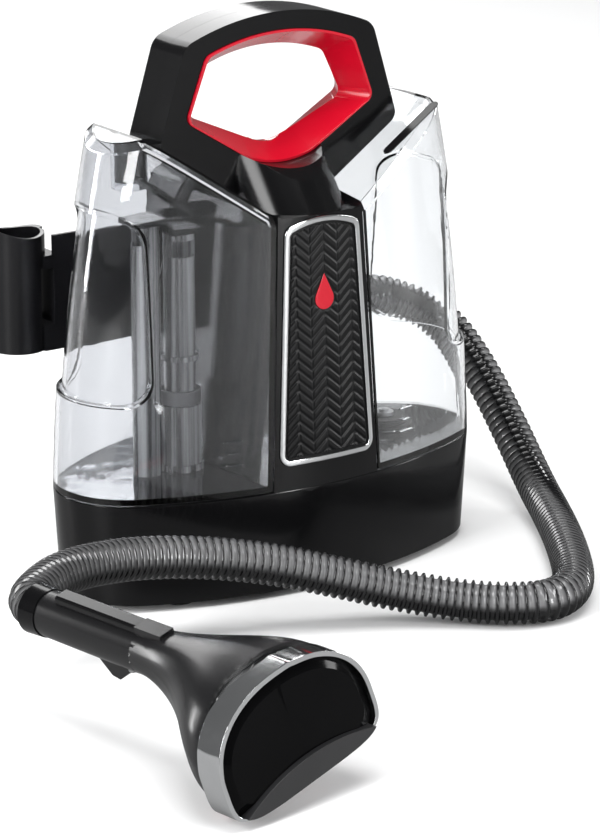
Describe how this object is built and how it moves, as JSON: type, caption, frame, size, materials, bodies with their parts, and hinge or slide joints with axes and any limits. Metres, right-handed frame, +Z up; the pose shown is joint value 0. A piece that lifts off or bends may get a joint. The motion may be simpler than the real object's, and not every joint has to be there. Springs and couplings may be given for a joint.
{
  "type": "portable spot extractor",
  "caption": "Hand-carried spot extractor: lens-shaped base, two lift-off clear tanks, tower with loop handle, ribbed hose and wide trigger tool.",
  "frame": {"origin": "underside of the middle rubber foot, on the floor", "axes": "+Z up, -Y out of the front badge, +X towards the clean-water tank, which is on the right of someone looking at the front"},
  "size_m": [0.4649, 0.4542, 0.34],
  "materials": {
    "black_gloss": "polished moulded plastic",
    "black_satin": "satin moulded plastic",
    "black_inner": "moulded, unpolished",
    "smoke_clear": "clear moulded, light smoke tint",
    "clear": "clear moulded",
    "red_gloss": "polished moulded plastic",
    "red_bristle": "nylon bristle",
    "bright_metal": "bright plated plastic",
    "badge_black": "fine chevron texture",
    "window_black": "polished, smoked",
    "lip_grey": "satin",
    "rubber": "soft moulded",
    "float_white": "closed-cell foam",
    "steel": "plain",
    "motor_can": "zinc plated",
    "copper": "wound copper",
    "pump_plastic": "glass-filled nylon",
    "hose_black": "ribbed, translucent smoke"
  },
  "bodies": {
    "machine": {"base_tub": "black_gloss", "base_plate": "black_inner", "base_screws": "steel", "rubber_feet": "rubber", "deck": "black_inner", "stack_gasket": "rubber", "clean_seat": "black_inner", "air_duct": "black_inner", "housing_front": "black_gloss", "housing_rear": "black_gloss", "handle_liner": "red_gloss", "bezel": "bright_metal", "badge_panel": "badge_black", "badge_mark": "red_gloss", "fan_housing": "black_inner", "motor_can": "motor_can", "motor_bearings": "steel", "motor_stator": "steel", "motor_cushion": "rubber", "pump_body": "pump_plastic", "pump_coil": "copper", "pump_feed": "black_inner", "switch_frame": "black_gloss", "cord_gland": "black_satin", "hose_port": "black_satin", "hose_cuff": "rubber", "hose": "hose_black", "tool_holder": "black_satin", "grip_left": "black_satin", "grip_right": "black_satin", "grip_collar": "black_satin", "ridge_cover": "black_satin", "spray_valve": "black_inner", "trigger_pin": "steel"},
    "fan": {"motor_rotor": "steel", "fan_wheel": "black_inner"},
    "pump": {"pump_piston": "steel"},
    "switch": {"power_rocker": "black_gloss"},
    "recovery_tank": {"dirty_tank": "smoke_clear", "stack_base": "smoke_clear", "stack_tube": "smoke_clear", "inlet_tube": "smoke_clear", "stack_cap": "black_satin", "splash_baffle": "black_satin"},
    "stopper": {"drain_plug": "rubber"},
    "float": {"float_ring": "float_white"},
    "water_tank": {"clean_tank": "clear", "tank_strip": "black_satin"},
    "cap": {"valve_cap": "black_inner"},
    "valve": {"valve_plunger": "steel"},
    "tool": {"tool_hood": "black_satin", "tool_band": "bright_metal", "tool_window": "window_black", "tool_lip": "lip_grey", "brush_base": "black_inner", "brush_tufts": "red_bristle", "spray_tip": "black_inner"},
    "latch": {"release_button": "black_satin"},
    "trigger": {"trigger": "black_satin"},
    "spray_pin": {"spray_plunger": "steel"}
  },
  "joints": [
    {"name": "dirty_tank_lift", "type": "slide", "parent": "machine", "child": "recovery_tank", "axis": [-0.8387, 0, 0.5446], "range_m": [0, 0.16]},
    {"name": "clean_tank_lift", "type": "slide", "parent": "machine", "child": "water_tank", "axis": [0.8387, 0, 0.5446], "range_m": [0, 0.16]},
    {"name": "float_rise", "type": "slide", "parent": "recovery_tank", "child": "float", "axis": [0, 0, 1], "range_m": [0, 0.018]},
    {"name": "drain_plug_pull", "type": "slide", "parent": "recovery_tank", "child": "stopper", "axis": [0, 0, 1], "range_m": [0, 0.04]},
    {"name": "valve_cap_turn", "type": "hinge", "parent": "water_tank", "child": "cap", "pos_m": [0.088, 0, 0.07], "axis": [0, 0, 1], "range_deg": [0, 90]},
    {"name": "valve_open", "type": "slide", "parent": "cap", "child": "valve", "axis": [0, 0, 1], "range_m": [0, 0.003], "stiffness_N_per_m": 120},
    {"name": "fan_spin", "type": "hinge", "parent": "machine", "child": "fan", "pos_m": [0, 0.012, 0.1], "axis": [0, 0, 1], "continuous": true},
    {"name": "pump_stroke", "type": "slide", "parent": "machine", "child": "pump", "axis": [-1, 0, 0], "range_m": [0, 0.003], "stiffness_N_per_m": 200},
    {"name": "power_switch", "type": "hinge", "parent": "machine", "child": "switch", "pos_m": [0, 0.06622, 0.208], "axis": [1, 0, 0], "range_deg": [0, 12]},
    {"name": "tool_pull_off", "type": "slide", "parent": "machine", "child": "tool", "axis": [0.1736, -0.9848, 0], "range_m": [0, 0.06]},
    {"name": "tool_release", "type": "slide", "parent": "tool", "child": "latch", "axis": [-0.2499, -0.0441, 0.9673], "range_m": [0, 0.002], "stiffness_N_per_m": 150},
    {"name": "trigger_pull", "type": "hinge", "parent": "machine", "child": "trigger", "pos_m": [-0.21872, -0.20483, 0.04448], "axis": [0.9526, 0.168, 0.2538], "range_deg": [0, 8], "stiffness_Nm_per_rad": 0.15},
    {"name": "spray_pin_rise", "type": "slide", "parent": "machine", "child": "spray_pin", "axis": [-0.2499, -0.0441, 0.9673], "range_m": [0, 0.003]}
  ],
  "couplings": [
    {"joint": "spray_pin_rise", "follows": "trigger_pull", "m_per_rad": 0.0185}
  ]
}
